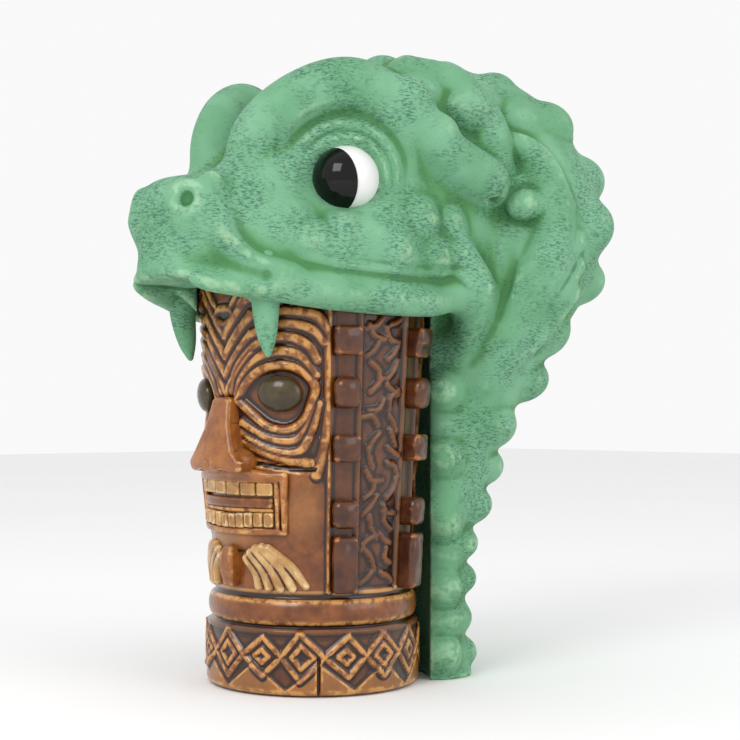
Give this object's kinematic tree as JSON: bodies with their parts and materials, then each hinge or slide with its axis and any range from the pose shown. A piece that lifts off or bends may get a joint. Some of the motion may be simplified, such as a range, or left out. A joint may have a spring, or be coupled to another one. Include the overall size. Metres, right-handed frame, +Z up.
{
  "type": "tiki mug",
  "caption": "Carved tumbler with a stylised face, capped by a rearing serpent whose upper jaw rests over the rim and lifts straight off.",
  "frame": {"origin": "centre of the tumbler's foot, on the table", "axes": "+Z up through the tumbler, -Y out of the carved face and the serpent's snout, +X to the object's own left"},
  "size_m": [0.13, 0.194, 0.2402],
  "materials": {
    "brown_glaze": "glossy",
    "tan_glaze": "glossy",
    "cream_glaze": "glossy",
    "dark_glaze": "glossy",
    "olive_glaze": "glossy",
    "serpent_green": "matte",
    "eye_white": "satin",
    "eye_black": "glossy"
  },
  "bodies": {
    "mug": {"tumbler": "brown_glaze", "tiki_eye_left": "olive_glaze", "tiki_eye_right": "olive_glaze", "tiki_nose": "tan_glaze", "mouth_frame": "tan_glaze", "upper_teeth": "tan_glaze", "lower_teeth": "tan_glaze", "tongue_bar": "brown_glaze", "chin_peg": "tan_glaze", "beard_fan_left": "cream_glaze", "beard_fan_right": "cream_glaze", "studs_front_left": "dark_glaze", "studs_front_right": "dark_glaze", "studs_back_left": "dark_glaze", "studs_back_right": "dark_glaze"},
    "serpent": {"serpent_trunk": "serpent_green", "serpent_hood": "serpent_green", "serpent_head": "serpent_green", "brow_left": "serpent_green", "brow_right": "serpent_green", "eyeball_left": "eye_white", "eyeball_right": "eye_white", "iris_left": "eye_black", "iris_right": "eye_black", "fang_left": "serpent_green", "fang_right": "serpent_green"}
  },
  "joints": [
    {"name": "serpent_lift", "type": "slide", "parent": "mug", "child": "serpent", "axis": [0, 0, 1], "range_m": [0, 0.16]}
  ]
}
